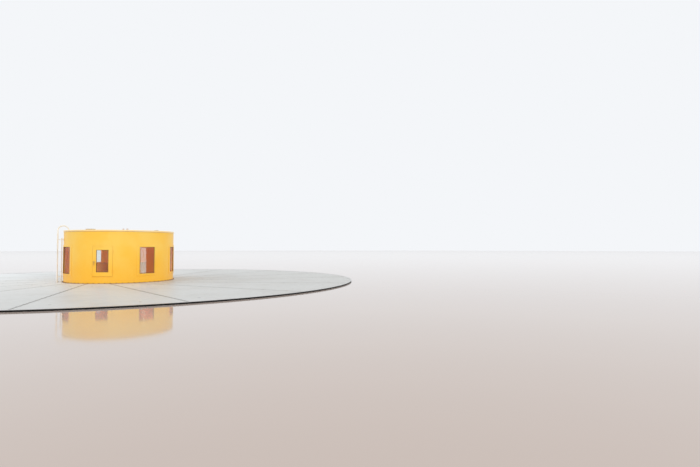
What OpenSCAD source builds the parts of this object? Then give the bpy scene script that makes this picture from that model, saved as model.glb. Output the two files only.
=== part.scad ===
// Housing of a vertical hydroelectric generator, as it stands in the machine hall:
// a round raised cover of oblique-jointed plates with the excitation drum on its centre.
// Millimetres. +Z is up, the origin is the centre of the cover on the hall floor,
// and the drum's access door faces -Y.

/* [Floor cover] */
// Radius of the cover over its kerb
cover_r = 9780; // [8600:20:11000]
// Height of the cover plates above the hall floor
cover_h = 42; // [32:1:80]
// Distance by which the plate joints miss the drum's axis
joint_offset = 900; // [0:20:1400]
// Turn of the first plate joint
joint_turn = 10; // [0:0.5:22]
// Width of the rubber joint between two plates
joint_w = 12; // [6:1:30]
// Depth of the rubber below the plates' face
joint_sink = 2; // [1:0.5:6]
// Width of the kerb band
kerb_w = 40; // [20:1:80]
// Width of the edge trim's flat on the plates
trim_w = 74; // [50:1:120]
// Thickness of the edge trim
trim_t = 4; // [3:0.5:8]
// Depth of the edge trim's lip below the plates' face
trim_lip = 2; // [1:1:20]

/* [Drum] */
// Radius of the drum wall
drum_r = 2080; // [1880:10:2380]
// Height of the drum's rim above the hall floor
drum_h = 2100; // [1900:10:2400]
// Thickness of the double-skinned wall
wall_t = 80; // [70:1:110]
// How far the base flange stands out from the wall
flange_out = 40; // [25:1:60]
// How far the base flange reaches inside the wall's inner face
flange_in = 30; // [10:1:60]
// Thickness of the base flange
flange_t = 11; // [8:1:30]
// Width of the plates' seat under the base flange
flange_seat = 20; // [12:1:24]

/* [Windows] */
// Clear width of a window
win_w = 622; // [480:2:720]
// Clear width of the window beside the ladder
side_w = 842; // [700:2:850]
// Turn of that window from its panel's middle towards the ladder
side_turn = 6.8; // [5:0.1:7]
// Height of a window's sill above the hall floor
win_z = 395; // [330:5:480]
// Clear height of a window
win_h = 1045; // [800:5:1200]
// Width of the frame beside a window
frame_side = 110; // [60:2:150]
// Width of the frame over and under a window
frame_end = 88; // [60:2:150]
// How far a frame stands proud of the wall
frame_t = 15; // [6:1:24]
// Bevel of a frame's upper and lower edge
frame_bevel = 5; // [1:1:6]
// Thickness of the glass
glass_t = 8; // [6:1:12]
// Depth of the glazing groove
groove_d = 13; // [8:1:20]
// Depth of the glass behind the wall's face at an opening's sides
glass_back = 8; // [5:1:20]

/* [Access door] */
// Clear width of the doorway
door_w = 730; // [700:2:800]
// Height of the doorway's sill above the hall floor
door_z = 315; // [250:5:360]
// Clear height of the doorway
door_h = 1165; // [1060:5:1300]
// How far the sill's nosing stands out from the wall
nosing_out = 18; // [8:1:30]
// Height of the nosing
nosing_h = 16; // [8:1:30]
// Thickness of the door leaf
leaf_t = 60; // [50:1:66]
// Running gap round the door leaf
door_gap = 6; // [5:0.5:10]
// Width of the stop behind the leaf's edges
stop_w = 20; // [14:1:30]
// Width of the window in the leaf
leaf_win_w = 440; // [300:2:500]
// Height of that window
leaf_win_h = 850; // [600:5:900]
// Height of its sill above the hall floor
leaf_win_z = 478; // [440:2:540]
// Depth of the leaf's glass behind its outer face
leaf_glass = 34; // [28:1:38]
// Height of the handle above the hall floor
handle_z = 870; // [700:10:1100]
// Distance of the handle from the leaf's free edge
handle_in = 60; // [50:1:100]
// Length of the handle's lever
handle_len = 130; // [90:5:180]

/* [Hinges] */
// Radius of a hinge barrel
barrel_r = 11; // [9:0.5:14]
// Radius of a hinge pin
pin_r = 6; // [4:0.5:7]
// Height of a hinge barrel
hinge_h = 120; // [80:5:180]
// Thickness of a hinge strap
strap_t = 6; // [4:0.5:8]
// Length of a hinge strap
strap_len = 95; // [60:5:140]
// Distance of the hinges from the doorway's ends
hinge_end = 210; // [150:10:300]

/* [Roof] */
// How far the rim stands out from the wall
rim_out = 15; // [6:1:30]
// Height of the rim with the groove under it
rim_h = 72; // [60:1:90]
// Height of the groove under the rim
groove_h = 18; // [8:1:24]
// How far the groove lies behind the wall's face
groove_in = 24; // [10:1:40]
// Width of the ledge that carries the roof plates
ledge_w = 60; // [40:2:90]
// Thickness of the roof plates
roof_t = 10; // [6:1:14]
// How far the roof plates lie below the rim's top
roof_drop = 3; // [1:1:8]
// Bevel of the rim's outer edge
rim_bevel = 8; // [2:1:12]
// Depth of the ribs under the roof plates
rib_h = 70; // [40:2:100]
// Thickness of the ribs
rib_t = 10; // [6:1:16]
// Length of the roof hatch
hatch_l = 300; // [200:10:400]
// Width of the roof hatch
hatch_w = 220; // [150:10:300]
// Distance of the hatch and the vent from the wall's inner face
hatch_in = 32; // [26:1:60]
// Height of the roof hatch over the rim
hatch_h = 42; // [30:1:80]
// Thickness of the hatch's lid and its overhang on the curb
hatch_lip = 14; // [6:1:24]
// Radius of the roof vent's cap
vent_r = 90; // [66:2:110]
// Radius of the vent's neck
vent_neck = 58; // [40:2:60]
// Height of the vent's cap over the rim
vent_h = 34; // [24:1:60]
// Distance of the lifting lugs from the wall's inner face
lug_in = 230; // [120:5:320]
// Distance between the two lugs beside a seam
lug_pitch = 142; // [120:2:180]
// Radius of a lug's rounded top
lug_r = 26; // [20:1:36]
// Radius of a lug's shackle hole
lug_hole = 13; // [8:1:16]
// Height of the shackle hole over the roof
lug_hole_z = 56; // [40:1:80]
// Width of a lug's foot
lug_foot = 80; // [60:2:110]
// Thickness of a lug
lug_t = 16; // [8:1:24]

/* [Ladder] */
// Distance of the stiles from the drum wall
stile_gap = 210; // [205:5:240]
// Radius of the gooseneck
neck_r = 190; // [185:1:200]
// Radius of the foot that ends a gooseneck on the roof
neck_foot_r = 34; // [28:1:40]
// Radius of the stile tube
stile_r = 21; // [16:1:28]
// Distance between the stiles' centres
ladder_w = 440; // [360:10:560]
// Number of rungs
rung_n = 7; // [5:1:8]
// Spacing of the rungs
rung_pitch = 280; // [220:5:300]
// Radius of a rung
rung_r = 13; // [10:1:17]
// Distance of the back rails from the drum wall
back_gap = 65; // [50:1:90]
// Radius of the back rail tube
back_r = 15; // [12:1:20]
// Height of the back rails' top above the hall floor
back_top = 1800; // [1500:10:1950]
// Side of a ladder foot
foot_w = 110; // [90:2:150]
// Thickness of feet and wall pads
foot_t = 10; // [6:1:16]

/* [Collector] */
// Radius of the brush gear casing
gear_r = 980; // [850:10:1050]
// Height of its top above the hall floor
gear_top = 800; // [600:10:1000]
// Radius of the collector housing on it
head_r = 745; // [600:5:800]
// Height of the housing's top above the hall floor
head_top = 1600; // [1400:10:1750]
// Overhang of both lids
lid_over = 20; // [10:1:40]
// Thickness of both lids
lid_t = 20; // [10:1:40]

/* [Hidden] */
$fn = 96;
// Steps round the large circles of the drum and the cover
large_fn = 720;
eps = 0.01;
// Clearance between curved faces that seat on each other
seat = 0.3;
// Axial clearance between hinge knuckles
knuckle_gap = 1;
// Running clearance round a hinge pin
pin_fit = 0.1;
// Clearance of the handle's lever from the leaf
lever_lift = 30;

PLATES = ["cover_plate_01", "cover_plate_02", "cover_plate_03", "cover_plate_04",
          "cover_plate_05", "cover_plate_06", "cover_plate_07", "cover_plate_08",
          "cover_plate_09", "cover_plate_10", "cover_plate_11", "cover_plate_12",
          "cover_plate_13", "cover_plate_14", "cover_plate_15", "cover_plate_16"];
// Stations whose panel has a window, counted from the door.
WINDOWS = [1, 2, 3, 5, 7];
// The station beside the ladder, whose window is wider.
SIDE_STATION = 7;
PANELS = ["wall_panel_1", "wall_panel_2", "wall_panel_3", "wall_panel_4",
          "wall_panel_5", "wall_panel_6", "wall_panel_7"];
// Roof seams with a pair of lugs, counted from the one right of the door.
LUG_SEAMS = [0, 2];
ROOFS = ["roof_plate_1", "roof_plate_2", "roof_plate_3", "roof_plate_4"];
wall_in = drum_r - wall_t;
flange_r = drum_r + flange_out;
hub_r = flange_r - flange_seat;
kerb_in = cover_r - kerb_w - trim_t;
plate_out = kerb_in - seat;
wall_z = cover_h + flange_t;
rim_z = drum_h - rim_h;
roof_z = drum_h - roof_drop;
ledge_z = roof_z - roof_t;
deck_z = roof_z + seat;
plate_turn = 360 / len(PLATES);
station_n = len(PANELS) + 1;
station = 360 / station_n;
roof_turn = 360 / len(ROOFS);
door_az = -90;
ladder_az = -157.5;
hatch_az = -107;
vent_az = -28.5;
seam_az = door_az + station / 2;
leaf_in = drum_r - leaf_t;
stop_r = leaf_in - door_gap;
hinge_x = door_w / 2 + barrel_r + 1;
hinge_r = drum_r + barrel_r + knuckle_gap;
hinge_y = -sqrt(hinge_r * hinge_r - hinge_x * hinge_x);
hinge_zs = [door_z + hinge_end, door_z + door_h - hinge_end];
lug_at = wall_in - lug_in;
stile_at = drum_r + stile_gap;
neck_z = deck_z + foot_t;
neck_end = stile_at - 2 * neck_r;
back_at = drum_r + back_gap;
tie_zs = [win_z - frame_end - foot_w / 2, back_top - 60];
leaf_glass_at = drum_r - leaf_glass - glass_t;

AMBER = [0.98, 0.76, 0.32];
GREY = [0.82, 0.82, 0.80];
DARK = [0.10, 0.10, 0.11];
STEEL = [0.72, 0.73, 0.74];
WHITE = [0.93, 0.93, 0.91];
GLASS = [0.62, 0.70, 0.72, 0.45];

// A ring about Z from radius r0 to r1 and height z0 to z1, over an angle.
module ring(r0, r1, z0, z1, turn = 360) {
    rotate_extrude(angle = turn, $fn = large_fn)
        translate([r0, z0]) square([r1 - r0, z1 - z0]);
}

// Direction of joint k.
function joint_az(k) = door_az + joint_turn + k * plate_turn;

// The ring that the plates are cut from, with a step of its circle where joint k ends.
module plate_ring(k, top) {
    rotate([0, 0, joint_az(k) - asin(joint_offset / plate_out)])
        ring(hub_r + seat, plate_out, 0, top);
}

// The half plane to the left of the joint line that is turned by a, drawn as a slab.
module left_of_joint(a, shift) {
    rotate([0, 0, a])
        translate([0, -joint_offset + shift, -1])
            cube([cover_r * 2, cover_r * 2, cover_h + 2]);
}

// One cover plate, between joint k and the next.
module cover_plate(k) {
    color(GREY)
        difference() {
            intersection() {
                plate_ring(k, cover_h);
                left_of_joint(joint_az(k), joint_w / 2);
            }
            left_of_joint(joint_az(k + 1), -joint_w / 2);
        }
}

// The rubber strips between the plates.
module cover_joints() {
    color(DARK)
        for (k = [0 : len(PLATES) - 1])
            intersection() {
                plate_ring(k, cover_h - joint_sink);
                rotate([0, 0, joint_az(k)])
                    translate([0, -joint_offset - joint_w / 2, -1])
                        cube([cover_r, joint_w, cover_h + 2]);
            }
}

// The band round the cover, in lengths that end at a small gap.
module kerb() {
    color(DARK)
        for (k = [0 : len(PLATES) - 1])
            rotate([0, 0, door_az + k * plate_turn])
                ring(kerb_in, cover_r - trim_t - seat, 0, cover_h, plate_turn - 0.02);
}

// The angle trim that covers the joint of kerb and plates.
module kerb_trim() {
    color(STEEL)
        for (k = [0 : len(PLATES) - 1])
            rotate([0, 0, door_az + k * plate_turn])
                rotate_extrude(angle = plate_turn - 0.02, $fn = large_fn)
                    polygon([[cover_r - trim_w, cover_h], [cover_r - trim_t, cover_h],
                             [cover_r - trim_t, cover_h - trim_lip], [cover_r, cover_h - trim_lip],
                             [cover_r, cover_h + trim_t], [cover_r - trim_w, cover_h + trim_t]]);
}

// The floor plate inside the drum.
module drum_floor() {
    color(GREY) cylinder(r = hub_r, h = cover_h, $fn = large_fn);
}

// The bolted flange at the foot of the drum.
module base_flange() {
    color(DARK)
        ring(wall_in - flange_in, flange_r, cover_h, wall_z);
}

// The opening of a window with its glazing groove, looking out along +X.
module window_cut(w, h, z, at) {
    translate([wall_in - wall_t, -w / 2, z]) cube([3 * wall_t, w, h]);
    translate([at - seat, -w / 2 - groove_d, z - groove_d])
        cube([glass_t + 2 * seat, w + 2 * groove_d, h + 2 * groove_d]);
}

// A sector of the drum wall, centred on +X.
module wall_sector() {
    rotate([0, 0, -station / 2]) ring(wall_in, drum_r, wall_z, rim_z - seat, station);
}

// Clear width of station k's window, its turn in the panel, and its glass's distance from the axis.
function width_at(k) = k == SIDE_STATION ? side_w : win_w;
function turn_at(k) = k == SIDE_STATION ? -side_turn : 0;
function glass_at(k) =
    sqrt(pow(drum_r, 2) - pow(width_at(k) / 2 + groove_d, 2)) - glass_back - glass_t;

// The wall panel of station k, with a window or blank.
module wall_panel(k) {
    color(AMBER)
        rotate([0, 0, door_az + k * station])
            difference() {
                wall_sector();
                if (len(search(k, WINDOWS)) > 0)
                    rotate([0, 0, turn_at(k)])
                        window_cut(width_at(k), win_h, win_z, glass_at(k));
            }
}

// The door station's wall, turned to the door.
module door_wall() {
    rotate([0, 0, door_az]) wall_sector();
}

// A block across the wall at the door, between two X and two Z values.
module door_block(x0, x1, z0, z1, r_out = 2 * drum_r) {
    intersection() {
        translate([x0, -drum_r - wall_t, z0]) cube([x1 - x0, drum_r, z1 - z0]);
        cylinder(r = r_out, h = drum_h, $fn = large_fn);
    }
}

// The wall beside the doorway, side = -1 left or 1 right, with its stop.
module door_post(side) {
    far = drum_r;
    x_in = door_w / 2 - stop_w;
    color(AMBER)
        intersection() {
            door_wall();
            union() {
                door_block(side > 0 ? door_w / 2 : -far, side > 0 ? far : -door_w / 2,
                           0, drum_h);
                door_block(side > 0 ? x_in : -door_w / 2, side > 0 ? door_w / 2 : -x_in,
                           door_z, door_z + door_h, stop_r);
            }
        }
}

module door_header() {
    top = door_z + door_h;
    color(AMBER)
        intersection() {
            door_wall();
            union() {
                door_block(-door_w / 2, door_w / 2, top, drum_h);
                door_block(-door_w / 2 + stop_w, door_w / 2 - stop_w, top - stop_w, top, stop_r);
            }
        }
}

// The wall under the doorway, with its stop and the nosing that sheds water.
module door_sill() {
    w = door_w - 2 * seat;
    color(AMBER)
        union() {
            intersection() {
                door_wall();
                union() {
                    door_block(-door_w / 2, door_w / 2, 0, door_z);
                    door_block(-door_w / 2 + stop_w, door_w / 2 - stop_w, door_z,
                               door_z + stop_w, stop_r);
                }
            }
            intersection() {
                rotate_extrude($fn = large_fn)
                    polygon([[drum_r - wall_t / 2, door_z - nosing_h],
                             [drum_r + nosing_out, door_z - nosing_h],
                             [drum_r + nosing_out, door_z - nosing_h / 2],
                             [drum_r, door_z], [drum_r - wall_t / 2, door_z]]);
                translate([-w / 2, -2 * drum_r, 0]) cube([w, 2 * drum_r, drum_h]);
            }
        }
}

// The proud frames round the windows.
module window_frames() {
    low = win_z - frame_end;
    high = win_z + win_h + frame_end;
    out = drum_r + frame_t;
    color(AMBER)
        for (k = WINDOWS)
            rotate([0, 0, door_az + k * station + turn_at(k)])
                difference() {
                    intersection() {
                        rotate([0, 0, -station / 2])
                            rotate_extrude(angle = station, $fn = large_fn)
                                polygon([[drum_r + seat, low], [out - frame_bevel, low],
                                         [out, low + frame_bevel], [out, high - frame_bevel],
                                         [out - frame_bevel, high], [drum_r + seat, high]]);
                        translate([0, -width_at(k) / 2 - frame_side, 0])
                            cube([2 * drum_r, width_at(k) + 2 * frame_side, drum_h]);
                    }
                    translate([0, -width_at(k) / 2, win_z])
                        cube([2 * drum_r, width_at(k), win_h]);
                }
}

// One sheet of glass in its groove, looking out along +X.
module pane(w, h, z, at) {
    e = groove_d - 1;
    translate([at, -w / 2 - e, z - e]) cube([glass_t, w + 2 * e, h + 2 * e]);
}

module window_panes() {
    color(GLASS)
        for (k = WINDOWS)
            rotate([0, 0, door_az + k * station + turn_at(k)])
                pane(width_at(k), win_h, win_z, glass_at(k));
}

// The rim that closes the wall's top over a shadow groove, with the ledge for the roof plates.
module rim_flange() {
    out = drum_r + rim_out;
    neck = drum_r - groove_in;
    groove_top = rim_z + groove_h;
    color(AMBER)
        rotate_extrude($fn = large_fn)
            polygon([[wall_in, rim_z], [neck, rim_z], [neck, groove_top], [out, groove_top],
                     [out, drum_h - rim_bevel], [out - rim_bevel, drum_h], [wall_in, drum_h],
                     [wall_in, ledge_z], [wall_in - ledge_w, ledge_z],
                     [wall_in - ledge_w, ledge_z - roof_t], [wall_in, ledge_z - roof_t]]);
}

// A roof plate with three ribs under it.
module roof_plate(k) {
    r = wall_in - seat;
    gap = 1;
    rib_in = head_r / 3;
    rib_out = wall_in - ledge_w - 20;
    color(AMBER)
        rotate([0, 0, seam_az + (k - 1) * roof_turn])
            union() {
                intersection() {
                    ring(0, r, ledge_z, roof_z, roof_turn);
                    translate([gap, gap, 0]) cube([r, r, drum_h]);
                }
                for (a = [12, roof_turn / 2, roof_turn - 12])
                    rotate([0, 0, a])
                        translate([rib_in, -rib_t / 2, ledge_z - rib_h])
                            cube([rib_out - rib_in, rib_t, rib_h + eps]);
            }
}

// A slab with rounded corners, centred on the Z axis.
module rounded_slab(l, w, r, z0, z1) {
    translate([0, 0, z0])
        linear_extrude(z1 - z0)
            offset(r = r) square([l - 2 * r, w - 2 * r], center = true);
}

// The roof hatch, a curb under a lid with bevelled edges.
module roof_hatch() {
    lid_z = drum_h + hatch_h - hatch_lip;
    bevel = hatch_lip / 3;
    corner = 2 * hatch_lip;
    inset = 2 * hatch_lip;
    rounded_slab(hatch_w - inset, hatch_l - inset, corner / 2, deck_z, lid_z);
    hull() {
        rounded_slab(hatch_w, hatch_l, corner, lid_z, lid_z + hatch_lip - bevel);
        rounded_slab(hatch_w - 2 * bevel, hatch_l - 2 * bevel, corner - bevel,
                     lid_z, lid_z + hatch_lip);
    }
}

// The roof vent, a neck under a low mushroom cap.
module roof_vent() {
    rise = drum_h + vent_h - deck_z;
    edge = rise * 0.45;
    translate([0, 0, deck_z])
        rotate_extrude()
            polygon([[0, 0], [vent_neck, 0], [vent_neck, edge], [vent_r, edge], [vent_r, edge + rise * 0.2],
                     [vent_r * 0.8, rise * 0.88], [vent_r * 0.45, rise], [0, rise]]);
}

// The low covers near the front of the roof.
module roof_hatches() {
    color(STEEL) {
        rotate([0, 0, hatch_az]) translate([wall_in - hatch_in - hatch_w / 2, 0, 0]) roof_hatch();
        rotate([0, 0, vent_az]) translate([wall_in - hatch_in - vent_r, 0, 0]) roof_vent();
    }
}

// The lifting lugs, a pair across each of two opposite roof seams, facing outwards.
module lifting_lugs() {
    color(STEEL)
        for (k = LUG_SEAMS, s = [-1, 1])
            rotate([0, 0, seam_az + k * roof_turn])
                translate([lug_at - lug_t / 2, s * lug_pitch / 2, deck_z])
                    rotate([90, 0, 90])
                        linear_extrude(lug_t)
                            difference() {
                                hull() {
                                    translate([-lug_foot / 2, 0]) square([lug_foot, lug_t / 2]);
                                    translate([0, lug_hole_z]) circle(r = lug_r);
                                }
                                translate([0, lug_hole_z]) circle(r = lug_hole);
                            }
}

// The access door's leaf, curved with the wall.
module door_leaf() {
    w = door_w - 2 * door_gap;
    z0 = door_z + door_gap;
    h = door_h - 2 * door_gap;
    color(AMBER)
        rotate([0, 0, door_az])
            difference() {
                intersection() {
                    rotate([0, 0, -station / 2])
                        ring(leaf_in, drum_r, z0, z0 + h, station);
                    translate([0, -w / 2, 0]) cube([2 * drum_r, w, drum_h]);
                }
                window_cut(leaf_win_w, leaf_win_h, leaf_win_z, leaf_glass_at);
            }
}

module door_pane() {
    color(GLASS)
        rotate([0, 0, door_az]) pane(leaf_win_w, leaf_win_h, leaf_win_z, leaf_glass_at);
}

// A lever handle near the free edge.
module door_handle() {
    x = door_w / 2 - door_gap - handle_in;
    rose_r = 32;
    lever_r = 11;
    color(STEEL)
        rotate([0, 0, door_az - asin(x / drum_r)])
            translate([drum_r + seat, 0, handle_z])
                union() {
                    rotate([0, 90, 0]) cylinder(r = rose_r, h = 8);
                    rotate([0, 90, 0]) cylinder(r = lever_r, h = lever_lift + lever_r);
                    translate([lever_lift, 0, 0]) sphere(r = lever_r);
                    translate([lever_lift, 0, -handle_len]) cylinder(r = lever_r, h = handle_len);
                    translate([lever_lift, 0, -handle_len]) sphere(r = lever_r);
                }
}

// A curved strap on the drum's face that starts at the hinge axis and runs by side.
module strap(side, z0, h) {
    x0 = hinge_x + side * (barrel_r + 1.5);
    intersection() {
        ring(drum_r + seat, drum_r + strap_t, z0, z0 + h);
        translate([side > 0 ? x0 : x0 - strap_len, -2 * drum_r, z0 - 1])
            cube([strap_len, 2 * drum_r, h + 2]);
    }
}

// A knuckle with the web that joins it to its strap.
module knuckle(side, z0, h, bore) {
    web = barrel_r - pin_r + 4;
    difference() {
        union() {
            translate([hinge_x, hinge_y, z0]) cylinder(r = barrel_r, h = h);
            intersection() {
                ring(drum_r + seat, drum_r + strap_t, z0, z0 + h);
                translate([hinge_x + (side > 0 ? pin_r : -pin_r - web), -2 * drum_r, z0 - 1])
                    cube([web, 2 * drum_r, h + 2]);
            }
        }
        if (bore > 0)
            translate([hinge_x, hinge_y, z0 - 1]) cylinder(r = bore, h = h + 2);
    }
}

// The moving half of both hinges: the middle knuckle and a strap on the leaf.
module door_hinges() {
    h = hinge_h / 2 - 2 * knuckle_gap;
    color(STEEL)
        for (z = hinge_zs)
            union() {
                knuckle(-1, z - h / 2, h, pin_r + pin_fit);
                strap(-1, z - h / 2, h);
            }
}

// The fixed half: a pin, the outer knuckles on it and a strap on the wall.
module wall_hinges() {
    h = hinge_h / 4 - knuckle_gap / 2;
    color(STEEL)
        for (z = hinge_zs)
            union() {
                knuckle(1, z + hinge_h / 2 - h, h, 0);
                knuckle(1, z - hinge_h / 2, h, 0);
                translate([hinge_x, hinge_y, z - hinge_h / 2]) cylinder(r = pin_r, h = hinge_h);
                strap(1, z - hinge_h / 2, hinge_h);
            }
}

// Places its children at the ladder's two sides, looking out along +X.
module ladder_sides() {
    rotate([0, 0, ladder_az])
        for (s = [-1, 1]) translate([0, s * ladder_w / 2, 0]) children();
}

// The stiles, with the goosenecks that pass over the rim, and their feet.
module ladder_stiles() {
    color(WHITE)
        ladder_sides() {
            translate([stile_at, 0, cover_h + foot_t])
                cylinder(r = stile_r, h = neck_z - cover_h - foot_t);
            translate([stile_at - neck_r, 0, neck_z])
                rotate([90, 0, 0])
                    rotate_extrude(angle = 180) translate([neck_r, 0]) circle(r = stile_r);
            translate([stile_at - foot_w / 2, -foot_w / 2, cover_h])
                cube([foot_w, foot_w, foot_t]);
            translate([neck_end, 0, deck_z]) cylinder(r = neck_foot_r, h = foot_t);
        }
}

module ladder_rungs() {
    color(WHITE)
        rotate([0, 0, ladder_az])
            for (k = [1 : rung_n])
                difference() {
                    translate([stile_at, -ladder_w / 2, cover_h + k * rung_pitch])
                        rotate([-90, 0, 0]) cylinder(r = rung_r, h = ladder_w);
                    for (s = [-1, 1])
                        translate([stile_at, s * ladder_w / 2, 0])
                            cylinder(r = stile_r + seat, h = drum_h);
                }
}

// The rails behind the stiles, close to the wall.
module ladder_back_rails() {
    color(WHITE)
        ladder_sides() {
            translate([back_at, 0, cover_h + foot_t])
                cylinder(r = back_r, h = back_top - cover_h - foot_t);
            translate([back_at - foot_w / 4, -foot_w / 4, cover_h])
                cube([foot_w / 2, foot_w / 2, foot_t]);
        }
}

// Ties from the stiles through the back rails to pads on the wall.
module ladder_brackets() {
    tie_r = 9;
    color(WHITE)
        ladder_sides()
            for (z = tie_zs)
                difference() {
                    union() {
                        translate([drum_r, 0, z]) rotate([0, 90, 0])
                            cylinder(r = tie_r, h = stile_at - drum_r);
                        translate([drum_r - 20, -foot_w / 4, z - foot_w / 4])
                            cube([20 + foot_t, foot_w / 2, foot_w / 2]);
                    }
                    cylinder(r = drum_r + seat, h = drum_h, $fn = large_fn);
                    translate([back_at, 0, 0]) cylinder(r = back_r + seat, h = drum_h);
                    translate([stile_at, 0, 0]) cylinder(r = stile_r + seat, h = drum_h);
                }
}

module brush_gear_casing() {
    color(GREY)
        union() {
            translate([0, 0, cover_h]) cylinder(r = gear_r, h = gear_top - lid_t - cover_h);
            translate([0, 0, gear_top - lid_t]) cylinder(r = gear_r + lid_over, h = lid_t);
        }
}

module collector_housing() {
    color(GREY)
        union() {
            translate([0, 0, gear_top]) cylinder(r = head_r, h = head_top - lid_t - gear_top);
            translate([0, 0, head_top - lid_t]) cylinder(r = head_r + lid_over, h = lid_t);
        }
}

for (k = [0 : len(PLATES) - 1])
    cover_plate(k);
cover_joints();
kerb();
kerb_trim();
drum_floor();
base_flange();
for (k = [0 : len(PANELS) - 1])
    wall_panel(k + 1);
door_post(-1);  // door_post_left
door_post(1);  // door_post_right
door_header();
door_sill();
window_frames();
window_panes();
rim_flange();
for (k = [0 : len(ROOFS) - 1])
    roof_plate(k);
roof_hatches();
lifting_lugs();
door_leaf();
door_pane();
door_handle();
door_hinges();
wall_hinges();
ladder_stiles();
ladder_rungs();
ladder_back_rails();
ladder_brackets();
brush_gear_casing();
collector_housing();
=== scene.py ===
"""Looks of a vertical hydroelectric generator: drum housing on a wide round floor cover.

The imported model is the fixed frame. Its nodes keep their shapes and get a finish each, and
the small fixings that the frame leaves out are modelled here, true to scale. Everything is in
metres, in the frame's own axes: +Z up, the cover's centre at the origin, the door towards -Y.
"""

import logging
import math
from collections.abc import Iterator
from dataclasses import dataclass, replace
from enum import Enum

import bmesh
import bpy
from mathutils import Matrix, Vector


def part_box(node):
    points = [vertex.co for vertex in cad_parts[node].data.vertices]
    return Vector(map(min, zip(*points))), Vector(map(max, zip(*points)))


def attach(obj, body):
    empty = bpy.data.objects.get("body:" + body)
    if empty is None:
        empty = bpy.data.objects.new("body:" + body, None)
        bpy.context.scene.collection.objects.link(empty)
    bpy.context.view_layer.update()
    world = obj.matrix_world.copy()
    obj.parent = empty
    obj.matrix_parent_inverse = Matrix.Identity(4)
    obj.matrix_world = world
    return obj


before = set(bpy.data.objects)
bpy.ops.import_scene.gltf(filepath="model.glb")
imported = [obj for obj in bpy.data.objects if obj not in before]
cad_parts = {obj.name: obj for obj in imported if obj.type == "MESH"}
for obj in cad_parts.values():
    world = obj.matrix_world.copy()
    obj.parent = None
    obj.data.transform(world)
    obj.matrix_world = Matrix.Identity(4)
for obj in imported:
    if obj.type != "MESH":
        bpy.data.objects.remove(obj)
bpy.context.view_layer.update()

LOG = logging.getLogger("generator")
MM = 0.001

# Layout that several classes share, in metres and degrees
DOOR_AZIMUTH = -90.0
DRUM_RADIUS = 2.08
PLATES = 16
JOINT_OFFSET = 0.9  # from the axis to the line of each plate joint
JOINT_FIRST = -80.0  # direction of the first joint

Point = tuple[float, float, float]
Pair = tuple[float, float]
Shape = bmesh.types.BMesh
Piece = bpy.types.Object
Socket = bpy.types.NodeSocket
Tree = bpy.types.ShaderNodeTree
Setting = str | float | bool | int
Value = Socket | float | tuple[float, ...]


class Body(Enum):
    """The bodies of the frame."""

    HOUSING = "housing"
    DOOR = "door"


class Slot(Enum):
    """Names of material slots."""

    RUBBER = "joint_rubber"
    KERB = "kerb_paint"
    DRUM = "drum_paint"
    HARDWARE = "hardware_metal"


# Shader helpers


def linear(code: str) -> tuple[float, float, float, float]:
    """Turns an sRGB hex colour into the linear colour that a shader socket takes.

    Args:
        code: The colour as #RRGGBB.

    Returns:
        Red, green, blue and an alpha of 1.
    """
    parts = [int(code[i : i + 2], 16) / 255 for i in (1, 3, 5)]
    red, green, blue = (
        p / 12.92 if p <= 0.04045 else ((p + 0.055) / 1.055) ** 2.4 for p in parts
    )
    return red, green, blue, 1.0


def per_mm(size: float) -> float:
    """Gives the texture scale, per metre, of a pattern whose cells are size millimetres."""
    return 1000 / size


def add_node(
    tree: Tree,
    kind: str,
    settings: dict[str, Setting] | None = None,
    inputs: dict[str | int, Value] | None = None,
) -> bpy.types.Node:
    """Adds one node to a shader tree.

    Args:
        tree: The material's tree.
        kind: The node's type name, without ShaderNode before it.
        settings: Properties of the node.
        inputs: Values for its inputs, or sockets that feed them, by name or place.

    Returns:
        The new node.
    """
    node = tree.nodes.new("ShaderNode" + kind)
    for key, setting in (settings or {}).items():
        setattr(node, key, setting)
    for key, value in (inputs or {}).items():
        if isinstance(value, Socket):
            tree.links.new(value, node.inputs[key])
        else:
            node.inputs[key].default_value = value
    return node


def from_axis(tree: Tree, place: Socket) -> Socket:
    """Measures how far a point lies from the upright axis through the origin.

    Args:
        tree: The material's tree.
        place: The point, as a vector socket.

    Returns:
        A socket with the distance in metres.
    """
    flat = add_node(tree, "VectorMath", {"operation": "MULTIPLY"}, {0: place, 1: (1.0, 1.0, 0.0)})
    radius = add_node(tree, "VectorMath", {"operation": "LENGTH"}, {0: flat.outputs[0]})
    return radius.outputs["Value"]


# Finishes


@dataclass(frozen=True)
class Finish:
    """A surface finish. A subclass draws its shader in paint."""

    name: str

    def material(self) -> bpy.types.Material:
        """Gives the finish's material, made on its first use.

        Returns:
            The material, named for the finish.
        """
        known = bpy.data.materials.get(self.name)
        if known is not None:
            return known
        made = bpy.data.materials.new(self.name)
        made.use_nodes = True
        tree = made.node_tree
        tree.nodes.clear()
        place = add_node(tree, "TexCoord").outputs["Object"]
        add_node(tree, "OutputMaterial", inputs={"Surface": self.paint(tree, place)})
        return made

    def paint(self, tree: Tree, place: Socket) -> Socket:
        """Draws the shader from the point at place and gives its output socket."""
        raise NotImplementedError


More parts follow.
